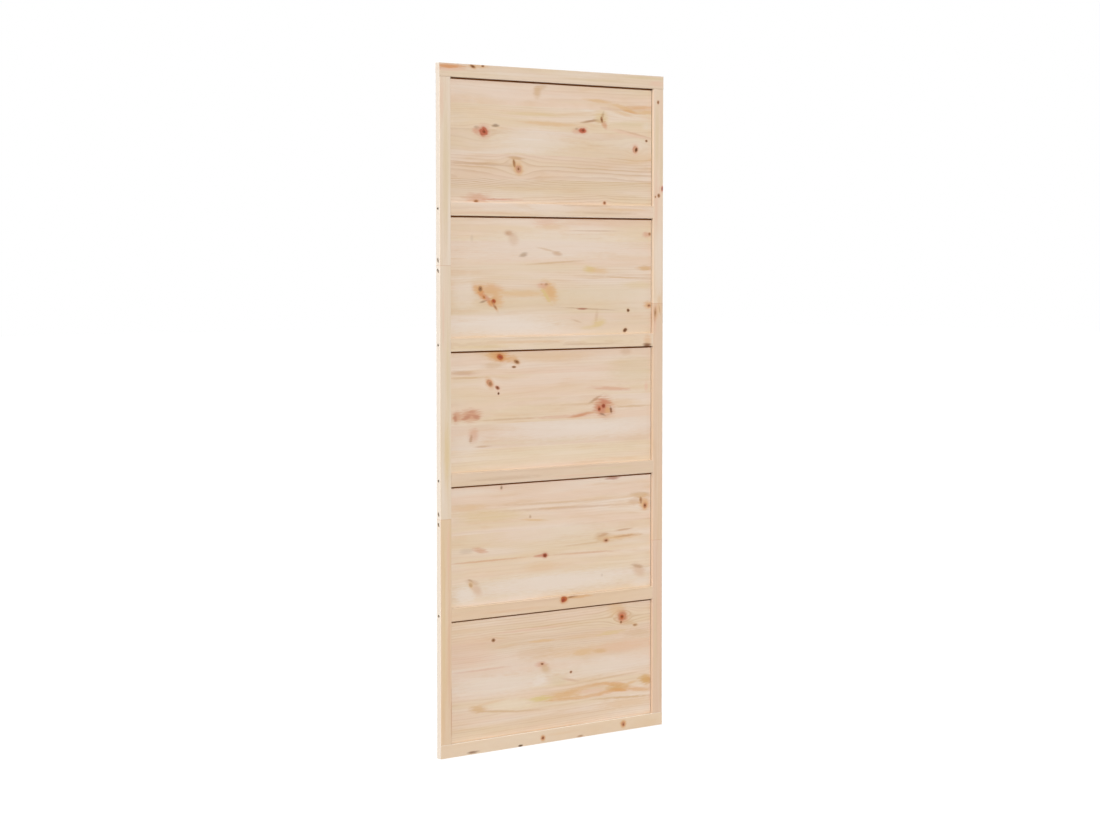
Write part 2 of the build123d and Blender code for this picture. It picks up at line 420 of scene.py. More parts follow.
# Marks on each panel, in millimetres from the left stile and down from the rail above
PANEL_MARKS = {
    "panel_1": [
        stain(140, 36, 230, 40, 0, PALE, 0.3),
        stain(320, 176, 200, 46, 0, PALE, 0.5),
        stain(300, 172, 90, 4, 0, PALE, 0.6),
        stain(540, 77, 40, 4, 0, PALE, 0.6),
        stain(700, 172, 160, 24, 0, PALE, 0.35),
        stain(730, 112, 110, 10, 0, OLIVE, 0.4),
        stain(640, 250, 260, 40, 0, TAN, 0.22),
        stain(761, 222, 90, 26, 0, SAND, 0.25),
        stain(790, 118, 30, 14, 0, PALE, 0.4),
        stain(60, 310, 130, 60, 0, TAN, 0.2),
        stain(330, 97, 160, 8, 0, YELLOW, 0.4),
        stain(390, 123, 150, 9, -1, SAND, 0.7),
        stain(580, 46, 70, 7, -3, SAND, 0.8),
        stain(334, 30, 19, 22, -8, TAN, 0.65),
        stain(348, 16, 30, 10, 10, TAN, 0.5),
        stain(690, 64, 60, 9, -13, SAND, 0.8),
        stain(760, 60, 80, 9, 2, ORANGE, 0.55),
        stain(722, 75, 50, 6, -8, ORANGE, 0.7),
        stain(690, 82, 56, 8, -8, SAND, 0.6),
        stain(785, 74, 50, 9, 3, SAND, 0.8),
        stain(98, 152, 22, 14, 0, FLESH, 0.8),
        stain(98, 143, 14, 7, 0, UMBER, 0.4),
        stain(490, 142, 20, 11, 0, FLESH, 0.5),
        stain(494, 134, 9, 5, 0, UMBER, 0.5),
        stain(556, 108, 54, 5, 8, BROWN, 0.75),
        stain(595, 96, 34, 26, 0, YELLOW, 0.55),
        stain(588, 110, 24, 7, 0, TAN, 0.6),
        stain(600, 92, 17, 7, 68, BROWN, 0.5),
        stain(608, 118, 17, 12, -40, RUST, 0.65),
        stain(715, 142, 110, 9, -8, PINK, 0.5),
        stain(735, 142, 80, 4, -9, FAWN, 0.4),
        stain(170, 135, 17, 6, 3, UMBER, 0.85),
        stain(250, 229, 40, 6, -4, FAWN, 0.8),
        stain(253, 252, 36, 26, -35, SAND, 0.6),
        stain(110, 251, 160, 4, -1, BROWN, 0.3),
        stain(100, 350, 60, 18, 0, CLAY, 0.6),
        stain(190, 354, 90, 4, 0, RED, 0.45),
        knot(125, 154, 17, 14, 0, FLESH, RED, CRIMSON),
        knot(127, 155, 5, 4.5, 0, RED, CRIMSON, DARK),
        knot(518, 139, 16, 8, 0, FLESH, RED, CRIMSON),
        knot(520, 138, 6, 4.5, 0, RED, CRIMSON, DARK),
        knot(597, 103, 5, 9, 15, TAN, BROWN, DARK),
        knot(738, 190, 12, 12, 0, PINK, CLAY, CLAY),
        knot(742, 191, 5, 7, -25, RUST, DARK, BLACK),
        knot(786, 162, 5, 4, 0, PINK, BROWN, BLACK),
        knot(243, 245, 5, 12, 15, TAN, BROWN, BROWN),
        knot(260, 262, 12, 11, -30, ORANGE, CLAY, COCOA),
        knot(260, 262, 5, 5, 0, CLAY, BROWN, DARK),
        knot(95, 360, 8, 4, 0, RUST, BROWN, DARK),
        knot(609, 358, 7, 6, 0, PINK, COCOA, DARK),
    ],
    "panel_2": [
        stain(380, 88, 460, 54, 0, PALE, 0.5),
        stain(180, 325, 340, 36, 0, PALE, 0.7),
        stain(50, 226, 60, 60, 0, PALE, 0.45),
        stain(580, 228, 260, 40, 0, OLIVE, 0.25),
        stain(640, 222, 260, 40, 0, PALE, 0.3),
        stain(240, 155, 320, 26, 0, PALE, 0.25),
        stain(620, 10, 330, 24, 0, PINK, 0.4),
        stain(365, 14, 60, 18, 0, PINK, 0.6),
        stain(386, 30, 64, 12, 0, SAND, 0.5),
        stain(570, 40, 130, 3, 0, FAWN, 0.5),
        stain(330, 150, 260, 20, 0, YELLOW, 0.22),
        stain(222, 50, 22, 11, -8, COCOA, 0.7),
        stain(240, 66, 28, 24, -40, ROSE, 0.6),
        stain(79, 65, 8, 12, 0, GREY, 0.2),
        stain(280, 114, 21, 9, 12, GREY, 0.75),
        stain(415, 110, 26, 9, -8, FAWN, 0.6),
        stain(372, 98, 46, 4, -10, TAN, 0.5),
        stain(410, 137, 150, 4, 3, TAN, 0.6),
        stain(700, 184, 170, 4, -2, TAN, 0.6),
        stain(745, 207, 80, 14, 0, YELLOW, 0.35),
        stain(150, 218, 66, 24, -6, ORANGE, 0.65),
        stain(176, 250, 32, 24, -30, ORANGE, 0.65),
        stain(98, 216, 26, 18, -40, ORANGE, 0.7),
        stain(270, 231, 130, 14, 0, SAND, 0.65),
        stain(116, 229, 24, 15, -55, AMBER, 0.8),
        stain(138, 245, 22, 10, -30, CLAY, 0.9),
        stain(152, 259, 22, 11, -30, AMBER, 0.85),
        stain(122, 253, 18, 4, 12, DARK, 0.5),
        stain(384, 226, 48, 34, -50, SAND, 1.0),
        stain(388, 224, 32, 22, -50, ORANGE, 0.4),
        stain(369, 236, 40, 8, -50, YELLOW, 0.9),
        stain(358, 206, 28, 13, 0, FLESH, 0.7),
        stain(370, 203, 8, 5, 0, BROWN, 0.6),
        stain(352, 203, 6, 4, 0, COCOA, 0.5),
        stain(548, 158, 34, 14, 0, YELLOW, 0.8),
        stain(585, 162, 46, 13, -4, SAND, 0.6),
        stain(780, 155, 44, 10, 0, OCHRE, 0.65),
        stain(540, 279, 150, 3, -3, BROWN, 0.36),
        stain(516, 279, 24, 4, 0, CRIMSON, 0.65),
        stain(576, 304, 9, 26, -10, FAWN, 0.35),
        stain(584, 318, 34, 18, 10, YELLOW, 0.35),
        stain(588, 325, 38, 11, 10, YELLOW, 0.6),
        stain(550, 336, 48, 8, 4, YELLOW, 0.4),
        stain(495, 316, 26, 4, -14, FAWN, 0.4),
        stain(788, 50, 22, 11, 0, FLESH, 0.75),
        stain(800, 48, 7, 6, 0, BROWN, 1.0),
        stain(792, 270, 22, 14, 0, ORANGE, 0.65),
        knot(111, 215, 8, 8, 0, ORANGE, BROWN, BLACK),
        knot(125, 240, 7, 5, -40, RUST, AMBER, DARK),
        knot(162, 253, 9, 8, 0, ORANGE, EMBER, CRIMSON),
        knot(168, 269, 12, 4, -50, ORANGE, COCOA, BROWN),
        knot(709, 286, 6, 5.5, 0, SAND, DARK, BLACK),
        knot(696, 347, 9, 6, 20, SAND, DARK, BLACK),
        knot(798, 272, 7, 5, 0, ORANGE, COCOA, DARK),
    ],
    "panel_3": [
        stain(400, 110, 420, 70, 0, PINK, 0.2),
        stain(730, 70, 130, 60, 0, OLIVE, 0.4),
        stain(480, 252, 380, 36, 0, PALE, 0.6),
        stain(60, 275, 90, 36, 0, PALE, 0.4),
        stain(400, 322, 420, 34, 0, CREAM, 0.3),
        stain(380, 22, 240, 20, 0, SAND, 0.4),
        stain(165, 12, 60, 20, -4, SAND, 0.8),
        stain(236, 28, 28, 14, 0, ORANGE, 0.55),
        stain(160, 44, 50, 12, 0, TAN, 0.5),
        stain(680, 172, 90, 14, 0, SAND, 0.4),
        stain(40, 64, 66, 9, -2, COCOA, 0.4),
        stain(60, 79, 90, 4, 0, TAN, 0.6),
        stain(74, 191, 50, 24, 3, CLAY, 0.9),
        stain(20, 193, 22, 22, 10, CLAY, 0.8),
        stain(58, 196, 24, 8, 20, BRICK, 0.5),
        stain(80, 180, 30, 5, 0, BRICK, 0.3),
        stain(94, 196, 18, 8, -16, BRICK, 0.5),
        stain(14, 196, 9, 14, 15, BRICK, 0.6),
        stain(84, 250, 24, 28, -24, CLAY, 0.55),
        stain(74, 261, 8, 14, -14, BROWN, 0.5),
        stain(120, 285, 38, 4, 0, FAWN, 0.6),
        stain(230, 207, 160, 4, 0, FAWN, 0.45),
        stain(440, 208, 140, 7, 0, FLESH, 0.4),
        stain(515, 205, 60, 7, 7, RUST, 0.85),
        stain(725, 186, 100, 5, 0, TAN, 0.6),
        stain(520, 172, 170, 5, 0, TAN, 0.4),
        stain(640, 128, 110, 8, -3, FLESH, 0.6),
        stain(570, 160, 34, 6, 24, BROWN, 0.6),
        stain(700, 14, 32, 14, 0, FAWN, 0.35),
        stain(787, 126, 10, 18, 0, PINK, 0.7),
        stain(607, 185, 54, 38, -12, RUST, 0.75),
        stain(592, 188, 30, 24, 0, RED, 0.45),
        stain(612, 167, 36, 8, -14, RED, 0.5),
        stain(624, 195, 18, 13, -12, ORANGE, 0.6),
        stain(602, 207, 17, 4, -14, DARK, 0.6),
        stain(637, 194, 6, 13, 12, DARK, 0.8),
        stain(186, 19, 54, 20, -8, ORANGE, 0.9),
        knot(187, 20, 13, 9, -18, AMBER, EMBER, CRIMSON),
        knot(252, 36, 11, 6, -20, ORANGE, BROWN, DARK),
        knot(242, 51, 8, 3.5, 0, PINK, BROWN, BLACK),
        knot(147, 97, 14, 9, -40, ORANGE, RUST, COCOA),
        knot(149, 99, 6, 5, -40, COCOA, BROWN, BROWN),
        knot(177, 112, 9, 6, -20, PINK, BRICK, DARK),
        knot(181, 129, 4, 4, 0, PINK, DARK, BLACK),
        knot(606, 181, 7, 6, 0, RED, CRIMSON, DARK),
        knot(588, 190, 7, 8, 0, RUST, RED, DARK),
    ],
    "panel_4": [
        stain(410, 315, 460, 42, 0, PALE, 0.7),
        stain(50, 326, 60, 36, 0, PALE, 0.7),
        stain(380, 160, 280, 40, 0, PALE, 0.4),
        stain(250, 160, 200, 40, 0, PINK, 0.2),
        stain(150, 95, 170, 24, -1, YELLOW, 0.4),
        stain(60, 66, 90, 14, 0, SAND, 0.5),
        stain(380, 70, 260, 5, -1, TAN, 0.5),
        stain(480, 89, 340, 5, -1, FAWN, 0.42),
        stain(320, 118, 70, 5, -5, SAND, 0.7),
        stain(765, 68, 56, 14, -5, TAN, 0.65),
        stain(740, 87, 40, 12, 0, ROSE, 0.8),
        stain(690, 92, 90, 14, 0, SAND, 0.3),
        stain(770, 342, 60, 20, 0, PALE, 0.5),
        stain(780, 94, 30, 26, -40, ORANGE, 0.7),
        stain(645, 8, 38, 6, 0, CRIMSON, 0.6),
        stain(306, 107, 6, 6, 0, BROWN, 0.5),
        stain(56, 195, 34, 11, 2, GREY, 0.28),
        stain(108, 196, 36, 10, -12, RUST, 0.6),
        stain(130, 229, 180, 4, 0, RUST, 0.5),
        stain(535, 233, 160, 4, -1, RUST, 0.4),
        stain(350, 229, 34, 6, 0, RED, 0.6),
        stain(350, 264, 90, 20, 0, SAND, 0.4),
        stain(604, 190, 46, 20, -4, TAN, 0.65),
        stain(604, 183, 26, 6, 8, COCOA, 0.5),
        stain(680, 193, 100, 10, 1, SAND, 0.8),
        stain(704, 192, 70, 4, 1, COCOA, 0.6),
        stain(692, 172, 44, 4, 2, COCOA, 0.6),
        stain(94, 312, 30, 18, -35, ROSE, 0.8),
        stain(78, 288, 34, 9, -14, FAWN, 0.45),
        stain(72, 284, 14, 4, -24, BROWN, 0.4),
        stain(757, 304, 38, 24, -32, ROSE, 0.8),
        stain(750, 291, 32, 7, -12, BROWN, 0.42),
        stain(600, 308, 6, 6, 0, GREY, 0.3),
        stain(540, 205, 140, 4, 1, TAN, 0.5),
        knot(192, 13, 6, 7, 0, PINK, ROSE, UMBER),
        knot(783, 102, 9, 9, -45, ORANGE, RUST, DARK),
        knot(765, 84, 6, 11, 10, SAND, COCOA, BROWN),
        knot(365, 229, 8, 6, 0, RED, CRIMSON, BLACK),
        knot(617, 201, 9, 5, 0, RUST, COCOA, DARK),
        knot(72, 297, 8, 6, -40, SAND, TAN, FAWN),
    ],
    "panel_5": [
        stain(400, 70, 460, 70, 0, TAN, 0.16),
        stain(60, 90, 140, 70, 0, PINK, 0.35),
        stain(600, 138, 320, 24, 0, SAND, 0.5),
        stain(700, 138, 170, 22, 0, PINK, 0.5),
        stain(180, 205, 270, 42, 0, PALE, 0.6),
        stain(620, 195, 280, 38, 0, PALE, 0.5),
        stain(430, 335, 440, 34, 0, TAN, 0.16),
        stain(420, 220, 50, 20, -6, OLIVE, 0.4),
        stain(560, 92, 200, 14, 0, SAND, 0.3),
        stain(330, 125, 110, 26, 0, TAN, 0.25),
        stain(710, 318, 160, 20, 0, SAND, 0.5),
        stain(716, 68, 34, 12, 0, TAN, 0.5),
        stain(752, 102, 70, 16, 0, TAN, 0.4),
        stain(345, 212, 36, 22, 0, PALE, 0.6),
        stain(470, 223, 46, 5, -12, ROSE, 0.9),
        stain(640, 231, 170, 4, 2, TAN, 0.5),
        stain(520, 142, 50, 13, 3, SAND, 0.7),
        stain(592, 145, 36, 9, -2, OCHRE, 0.4),
        stain(350, 91, 70, 6, -1, SAND, 0.8),
        stain(640, 92, 70, 8, 2, YELLOW, 0.5),
        stain(110, 156, 150, 4, 0, RUST, 0.3),
        stain(300, 52, 200, 6, 0, PINK, 0.5),
        stain(660, 18, 44, 28, 0, SAND, 0.6),
        stain(225, 271, 130, 24, -2, CREAM, 0.5),
        stain(100, 273, 40, 14, -6, OCHRE, 0.55),
        stain(150, 258, 80, 5, 4, SAND, 0.4),
        stain(180, 288, 110, 5, -6, TAN, 0.65),
        stain(300, 299, 90, 4, -2, TAN, 0.5),
        stain(440, 267, 110, 16, 2, SAND, 0.9),
        stain(455, 267, 70, 11, 2, ORANGE, 0.2),
        stain(346, 268, 60, 11, -2, LIME, 0.7),
        stain(520, 254, 110, 9, 4, ORANGE, 0.3),
        stain(605, 250, 80, 7, -3, ORANGE, 0.45),
        stain(665, 258, 66, 9, -8, ORANGE, 0.65),
        stain(550, 266, 70, 7, 0, PINK, 0.5),
        stain(460, 281, 100, 7, -2, ORANGE, 0.45),
        stain(560, 281, 90, 8, 2, ORANGE, 0.5),
        stain(635, 274, 70, 9, 7, ORANGE, 0.6),
        stain(665, 267, 64, 13, -4, OCHRE, 0.6),
        stain(674, 276, 46, 8, -4, ORANGE, 0.95),
        stain(748, 281, 76, 9, -7, ORANGE, 0.6),
        stain(714, 260, 44, 6, 10, SAND, 0.7),
        stain(790, 255, 40, 20, -12, OCHRE, 0.85),
        stain(690, 301, 160, 5, -3, TAN, 0.75),
        stain(350, 163, 30, 11, -4, FLESH, 0.7),
        stain(366, 176, 28, 18, -30, TAN, 0.6),
        knot(160, 71, 8, 5.5, 0, PINK, BROWN, BLACK),
        knot(686, 45, 19, 15, -10, RUST, RUST, CORAL),
        knot(685, 47, 7, 7, 0, RED, EMBER, DARK),
        knot(681, 63, 4, 4, 0, RUST, BROWN, DARK),
        knot(742, 77, 10, 4, 0, SAND, FAWN, BROWN),
        knot(354, 162, 7, 3.5, -5, FLESH, COCOA, DARK),
        knot(471, 199, 5.5, 4, 0, PINK, BROWN, BLACK),
    ],
}

# Marks on each rail, from its left end and down from its top edge
RAIL_MARKS = {
    "top_rail": [
        stain(36, 17, 80, 8, 0, PINK, 0.7),
        stain(34, 9, 76, 8, 0, AMBER, 0.85),
        stain(300, 22, 180, 7, 0, PALE, 0.4),
        stain(145, 5, 50, 7, 0, ORANGE, 0.4),
        knot(126, 6, 10, 4.5, -20, ORANGE, BROWN, DARK),
        knot(164, 3, 6, 3, 0, ORANGE, BROWN, DARK),
        stain(620, 24, 150, 5, 0, OLIVE, 0.4),
        stain(820, 8, 120, 6, 0, OLIVE, 0.6),
        stain(870, 24, 40, 12, 0, PINK, 0.5),
    ],
    "cross_rail_1": [
        stain(250, 20, 150, 12, 0, PALE, 0.4),
        stain(620, 26, 160, 4, 0, BROWN, 0.25),
        stain(120, 30, 130, 5, 0, PINK, 0.4),
        stain(700, 14, 140, 5, 0, SAND, 0.5),
    ],
    "cross_rail_2": [
        stain(300, 16, 200, 6, 0, ORANGE, 0.3),
        stain(560, 28, 160, 4, 0, BROWN, 0.25),
        stain(140, 28, 130, 6, 0, YELLOW, 0.35),
        # Painted shade along the top arris
        stain(420, 5, 440, 4, 0, BROWN, 0.1),
        stain(803, 22, 22, 22, 0, ORANGE, 0.45),
        stain(800, 36, 22, 8, 0, DARK, 0.85),
    ],
    "cross_rail_3": [
        stain(220, 24, 180, 7, 0, BROWN, 0.2),
        stain(640, 14, 140, 5, 0, OLIVE, 0.4),
        stain(520, 30, 200, 4, 0, PINK, 0.4),
        # Painted shade along the top arris
        stain(420, 5, 440, 4, 0, BROWN, 0.1),
    ],
    "cross_rail_4": [
        # Painted shade along the top arris
        stain(420, 5, 440, 4, 0, BROWN, 0.1),
        stain(515, 7, 70, 6, 0, ORANGE, 0.6),
        stain(260, 26, 150, 6, 0, ORANGE, 0.25),
        stain(453, 9, 22, 12, 0, ORANGE, 0.5),
        stain(482, 5, 32, 4, 3, BROWN, 0.95),
        knot(453, 9, 12, 10, 0, ORANGE, EMBER, CRIMSON),
        knot(449, 13, 7, 5, 20, EMBER, CRIMSON, DARK),
    ],
    "bottom_rail": [
        stain(470, 18, 90, 6, 0, SAND, 0.25),
        stain(399, 24, 12, 11, 0, ORANGE, 0.5),
        stain(733, 18, 16, 14, 0, ORANGE, 0.7),
        knot(399, 24, 7, 7, 0, ORANGE, RUST, DARK),
        knot(733, 20, 8, 8, 0, ORANGE, RUST, DARK),
        stain(308, 37, 11, 5, 0, BLACK, 0.95),
        stain(122, 34, 26, 5, 0, DARK, 0.7),
        stain(552, 36, 16, 5, 0, BROWN, 0.7),
    ],
}

# Marks on each stile, across from its left edge and down from the top of the leaf
STILE_MARKS = {
    "left_stile_top": [
        stain(24, 330, 14, 260, 0, OLIVE, 0.45),
        stain(8, 110, 9, 80, 0, PINK, 0.4),
        stain(36, 460, 7, 140, 0, PALE, 0.5),
    ],
    "left_stile_middle": [
        stain(25, 1142, 14, 120, 0, YELLOW, 0.5),
        stain(12, 760, 6, 130, 0, PINK, 0.35),
        stain(30, 900, 8, 180, 0, OLIVE, 0.4),
        stain(8, 1240, 8, 110, 0, PALE, 0.4),
    ],
    "left_stile_bottom": [
        stain(12, 1660, 10, 330, 0, YELLOW, 0.35),
        stain(30, 1440, 7, 100, 0, PINK, 0.5),
        stain(33, 1720, 7, 260, 0, FLESH, 0.3),
        # Painted shade along the inner arris
        stain(40, 1920, 2, 100, 0, BRICK, 0.6),
    ],
    "right_stile_top": [
        stain(14, 190, 12, 140, 0, OLIVE, 0.45),
        stain(34, 130, 8, 100, 0, PINK, 0.35),
        stain(34, 280, 9, 120, 0, OLIVE, 0.35),
        stain(12, 400, 10, 120, 0, PINK, 0.45),
        stain(22, 580, 22, 150, 0, PALE, 0.4),
        stain(32, 352, 12, 16, 0, PINK, 0.6),
        stain(26, 700, 12, 20, 0, SAND, 0.4),
        knot(20, 81, 5, 6, 0, PINK, BROWN, DARK),
        knot(38, 350, 4, 9, 0, PINK, RED, DARK),
        knot(23, 372, 6, 7, 0, PINK, BROWN, DARK),
        knot(9, 376, 3.5, 4, 0, PINK, FAWN, BROWN),
    ],
    "right_stile_middle": [
        stain(24, 860, 22, 190, 0, PALE, 0.25),
        stain(28, 860, 14, 190, 0, ROSE, 0.3),
        stain(26, 722, 14, 22, 0, SAND, 0.5),
        stain(8, 775, 7, 40, 0, PINK, 0.7),
        stain(14, 738, 12, 26, 0, SAND, 0.6),
        stain(7, 752, 5, 26, 0, COCOA, 0.5),
        knot(9, 738, 5, 16, 0, FLESH, FAWN, BROWN),
        stain(28, 730, 3, 20, -12, FAWN, 0.7),
        stain(12, 1250, 7, 180, 0, TAN, 0.3),
        stain(34, 1250, 7, 180, 0, PINK, 0.3),
    ],
    "right_stile_bottom": [
        stain(30, 1680, 9, 200, 0, PINK, 0.5),
        stain(12, 1760, 7, 180, 0, OLIVE, 0.35),
        stain(36, 1900, 5, 100, 0, TAN, 0.35),
    ],
}

# How strong the painted highlight on the top edge of a rail is
LEDGE_HIGHLIGHTS = {"bottom_rail": 0.9, "cross_rail_4": 0.2}

# Frame pieces that are plainly warmer or paler than the rest
TINTS = {
    "top_rail": (linear(224, 206, 182), 0.3),
    "bottom_rail": (linear(223, 199, 166), 0.5),
    "cross_rail_3": (linear(217, 191, 163), 0.5),
    "cross_rail_4": (linear(220, 189, 157), 0.5),
    "left_stile_top": (linear(227, 212, 192), 0.5),
    "left_stile_middle": (linear(225, 209, 188), 0.5),
    "left_stile_bottom": (linear(219, 188, 153), 0.5),
    "right_stile_top": (linear(225, 203, 182), 0.45),
    "right_stile_middle": (linear(214, 182, 152), 0.55),
    "right_stile_bottom": (linear(215, 180, 155), 0.55),
}


def lay_marks(g, colour, marks, along, across, fibrous, rough):
    """The marks over a colour, in order: stains get fibrous edges, and knots rough ones."""
    for mark in marks:
        where = {
            "along": along, "across": across,
            "centre_along": mark["place"][0], "centre_across": mark["place"][1],
            "half_length": mark["half"][0], "half_height": mark["half"][1],
            "turn": math.radians(mark["turn"]),
        }
        if mark["kind"] == "knot":
            halo, body, heart = mark["colours"]
            paint = {"halo": halo, "body": body, "heart": heart}
            colour = g.group(KNOT, colour=colour, ragged=rough, **paint, **where)[0]
        else:
            paint = {"stain": mark["colours"][0], "strength": mark["strength"]}
            colour = g.group(STAIN, colour=colour, ragged=fibrous, **paint, **where)[0]
    return colour


def pushed_grain(g, marks, along, across):
    """The place across the grain, bent round every knot."""
    bent = across
    for mark in marks:
        if mark["kind"] == "knot":
            where = {
                "centre_along": mark["place"][0], "centre_across": mark["place"][1],
                "half_length": mark["half"][0], "half_height": mark["half"][1],
            }
            bent = g.sub(bent, g.group(FLOW, along=along, across=across, **where)[0])
    return bent


def gap_shade_mask(g, x, depth, z, start, end):
    """Mask of painted shade: 1 on faces deep in the gaps between the frame and the panels, and 0 elsewhere.
    """
    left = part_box("left_stile_top")[1][0] / MM
    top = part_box("top_rail")[0][2] / MM
    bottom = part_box("bottom_rail")[1][2] / MM
    aside = g.math("ABSOLUTE", x)
    share = g.step(aside, 0.4 - left, 0.1 - left)
    from_middle = g.math("ABSOLUTE", g.sub(z, (top + bottom) / 2))
    half_height = (top - bottom) / 2
    share = g.mul(share, g.step(from_middle, half_height + 0.4, half_height + 0.1))
    share = g.mul(share, g.step(depth, start, start + 0.5))
    return g.mul(share, g.step(depth, end + 0.3, end))


def inside_of(g, place, limit, band):
    """Smooth step between two distances inside a limit."""
    return g.step(place, limit - band[0], limit - band[1])


def edge_tones(g, colour, facing, x, depth, z, ledge_highlight):
    """Outer edges paler than the faces, a painted highlight on an upper arris, painted shade on the inner
    sides, and painted shade in the holes.
    """
    low, high = [Vector(corner) / MM for corner in cad_box]
    aside = g.math("ABSOLUTE", x)
    from_middle = g.math("ABSOLUTE", g.sub(z, (low.z + high.z) / 2))
    half_width = high.x
    half_height = (high.z - low.z) / 2
    sideways, endways = [g.step(g.math("ABSOLUTE", facing[axis]), 0.4, 0.9) for axis in (0, 2)]
    outer_side = g.mul(sideways, inside_of(g, aside, half_width, EDGE_BAND))
    outer_end = g.mul(endways, inside_of(g, from_middle, half_height, EDGE_BAND))
    # Painted shade on the side faces, a little less on those that face left
    inner = g.step(g.math("ABSOLUTE", facing[1]), 0.4, 0.2, 0.0, 0.6)
    inner = g.mul(inner, g.step(facing[0], -0.9, -0.5, 0.42, 1.0))
    colour = g.mix(inner, colour, PINE_INNER_SHADE)
    # Painted highlight on the upper arris
    arris = g.mul(g.step(facing[2], 0.1, 0.3), g.step(facing[2], 0.95, 0.8, 0.0, ledge_highlight))
    colour = g.mix(arris, colour, PINE_LEDGE_HIGHLIGHT)
    colour = g.mix(g.mul(g.math("MAXIMUM", outer_side, outer_end), 0.85), colour, PINE_EDGE)

    # Painted shade in the holes: they are the only faces near the outer edges that are well inside the
    # thickness
    near_side = inside_of(g, aside, half_width, HOLE_BAND)
    near_end = inside_of(g, from_middle, half_height, HOLE_BAND)
    below_skin = g.mul(inside_of(g, aside, half_width, SKIN_BAND),
                       inside_of(g, from_middle, half_height, SKIN_BAND))
    inside = g.mul(below_skin, g.step(g.math("ABSOLUTE", depth), *HOLE_HALF_DEPTH))
    hole = g.mul(g.math("MAXIMUM", near_side, near_end), g.mul(inside, 0.85))
    return g.mix(hole, colour, HOLE_SHADE)


def joint_share(g, z, joints):
    """1 on the joint lines across a stile, and 0 elsewhere."""
    share = 0.0
    for height in joints:
        line = g.step(g.math("ABSOLUTE", g.sub(z, height)), 1.3, 0.4)
        share = g.math("MAXIMUM", share, line)
    return share


def painted_gap_shade(g, x, depth, z, facing, front):
    """How much painted shade darkens the gap round a panel on the frame's faces, or on the panel's edges.
    """
    depths = PANEL_GAP_SHADE_DEPTHS if front == PANEL_FRONT else FRAME_GAP_SHADE_DEPTHS
    gap = gap_shade_mask(g, x, depth, z, *depths)
    gap = g.mul(gap, g.step(z, *GAP_SHADE_FADE))
    if front == FRAME_FRONT:
        gap = g.mul(gap, g.step(facing[2], 0.5, 0.2))
        turned = g.step(facing[0], -0.8, -0.4)
        return g.mul(gap, g.math("MAXIMUM", turned, g.step(depth, *LEFT_FACING_GAP_SHADE_DEPTHS)))
    # Painted shade on a panel's upward faces near its front, in the gap under the rail above
    upward_shade = g.mul(g.step(facing[2], 0.2, 0.5), g.step(depth, 2.0, 1.0, 0.0, 0.9))
    return g.math("MAXIMUM", gap, upward_shade)


def wood_surface(g, colour, pine):
    """Matt, unfinished wood with a fine relief, from its colour and the pine's fibres."""
    shader = g.node("ShaderNodeBsdfPrincipled")
    shader.inputs["Specular IOR Level"].default_value = 0.12
    g.feed(shader.inputs["Base Color"], colour)
    g.feed(shader.inputs["Roughness"], g.add(0.58, g.mul(pine["Fibre"], 0.2)))
    bump = g.node("ShaderNodeBump")
    bump.inputs["Strength"].default_value = 0.25
    bump.inputs["Distance"].default_value = 0.0003
    g.feed(bump.inputs["Height"], pine["Height"])
    g.feed(shader.inputs["Normal"], bump.outputs[0])
    g.feed(g.node("ShaderNodeOutputMaterial").inputs[0], shader.outputs[0])


def wood_material(name, seed, marks, front, upright=False, board_width=None, low_edge=0.0,
                  middle=0.0, tint=None, lines=0.5, joints=(), ledge_highlight=0.0):
    """Pine with its grain along X, or along Z where it is upright. Marks are in row millimetres."""
    material = bpy.data.materials.new(name)
    material.use_nodes = True
    tree = material.node_tree
    tree.nodes.clear()
    g = Graph(tree)
    place = g.node("ShaderNodeSeparateXYZ")
    g.feed(place.inputs[0], g.node("ShaderNodeTexCoord").outputs["Object"])
    x, depth, z = [g.mul(axis, 1 / MM) for axis in place.outputs]
    along, across = (z, x) if upright else (x, z)

    # Knots slant through the wood, so they come out in another place at the back
    slant = g.sub(depth, front)
    mark_along = g.add(along, g.mul(slant, SLANT_ALONG))
    mark_across = g.add(across, g.mul(slant, SLANT_ACROSS))
    bent = g.add(across, g.sub(pushed_grain(g, marks, mark_along, mark_across), mark_across))
    if board_width:
        number = g.math("FLOOR", g.div(g.sub(across, low_edge), board_width))
        board = g.add(number, seed)
        in_board = g.sub(g.sub(bent, low_edge), g.mul(g.add(number, 0.5), board_width))
        lines = g.pick(number, lines)
    else:
        board = seed
        in_board = g.sub(bent, middle)
    pine = g.group(PINE, along=along, across=in_board, depth=depth, board=board, lines=lines)

    fibrous = g.noise(g.point(g.mul(along, 0.035), g.mul(across, 0.28), seed), 3.0)
    rough = g.noise(g.point(g.mul(along, 0.07), g.mul(across, 0.11), seed), 2.0)
    fibrous = g.mul(g.sub(fibrous, 0.5), 1.1)
    rough = g.mul(g.sub(rough, 0.5), 0.6)
    colour = pine["Colour"]
    if tint:
        colour = g.mix(tint[1], colour, tint[0])
    colour = lay_marks(g, colour, marks, mark_along, mark_across, fibrous, rough)

    split = g.node("ShaderNodeSeparateXYZ")
    g.feed(split.inputs[0], g.node("ShaderNodeNewGeometry").outputs["True Normal"])
    facing = split.outputs
    colour = edge_tones(g, colour, facing, x, depth, z, ledge_highlight)
    colour = g.mix(g.mul(joint_share(g, z, joints), 0.3), colour, DARK_JOINT_AND_GAP_SHADE)
    # Painted shade in the gaps round the panels, a darker brown on their sideways faces
    gap = painted_gap_shade(g, x, depth, z, facing, front)
    sideways = g.step(g.math("ABSOLUTE", facing[0]), 0.4, 0.8)
    colour = g.mix(gap, colour, g.mix(sideways, DARK_JOINT_AND_GAP_SHADE, SIDE_GAP_SHADE))
    wood_surface(g, colour, pine)
    return material


